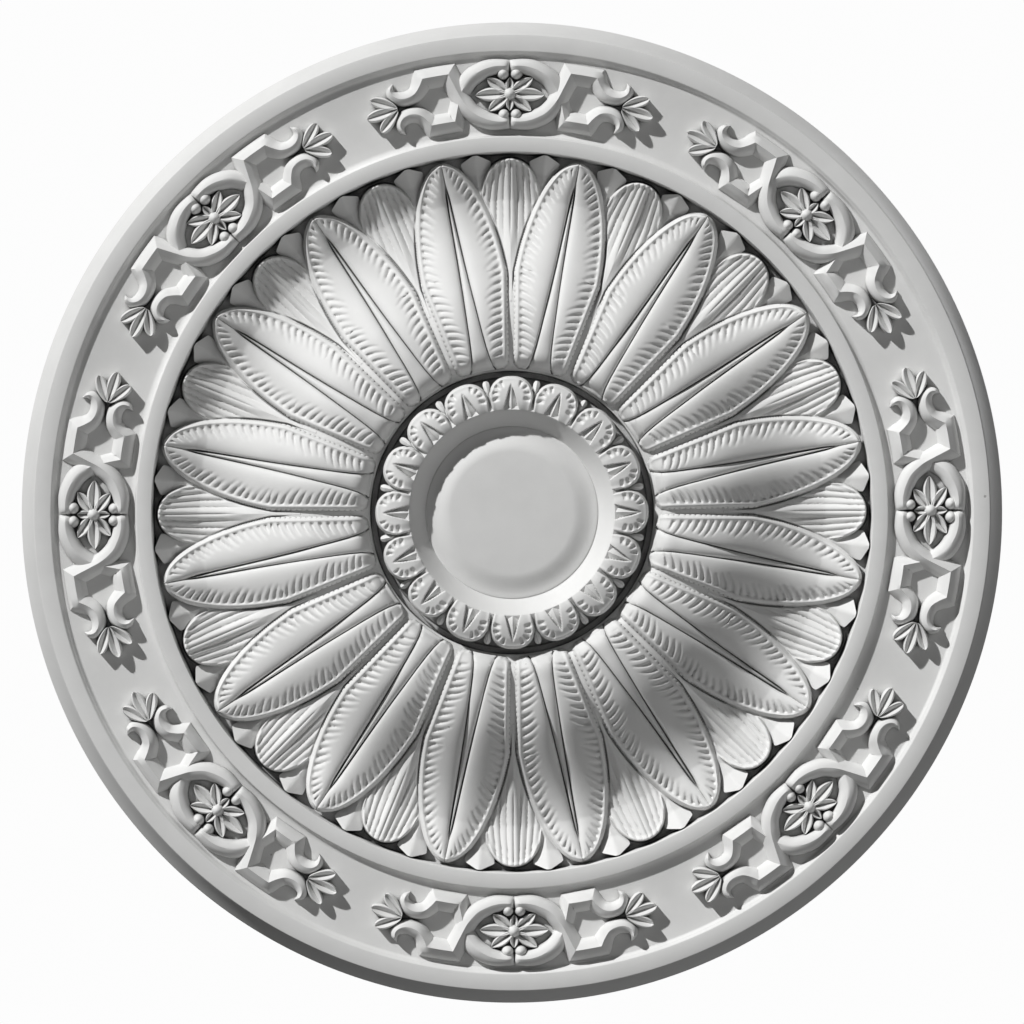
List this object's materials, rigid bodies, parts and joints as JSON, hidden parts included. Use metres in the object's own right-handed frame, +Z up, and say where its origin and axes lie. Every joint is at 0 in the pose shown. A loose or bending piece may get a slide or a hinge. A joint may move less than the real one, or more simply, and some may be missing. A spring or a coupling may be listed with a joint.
{
  "type": "ceiling rose",
  "caption": "Large round ceiling rose with long overlapping leaves, a lobed collar round a cupped centre for a lamp's canopy, and a frieze of strapwork cartouches.",
  "frame": {"origin": "centre of the flat back, on the plane of the ceiling", "axes": "+Z up, out of the flat back into the ceiling; the carved face looks along -Z; the top of the picture is -Y and its right is +X"},
  "size_m": [0.7, 0.7, 0.0446],
  "materials": {
    "primed_casting": "matt white primer over a dense moulded foam, with small casting pits"
  },
  "bodies": {
    "root": {"ceiling_rose": "primed_casting"}
  },
  "joints": []
}
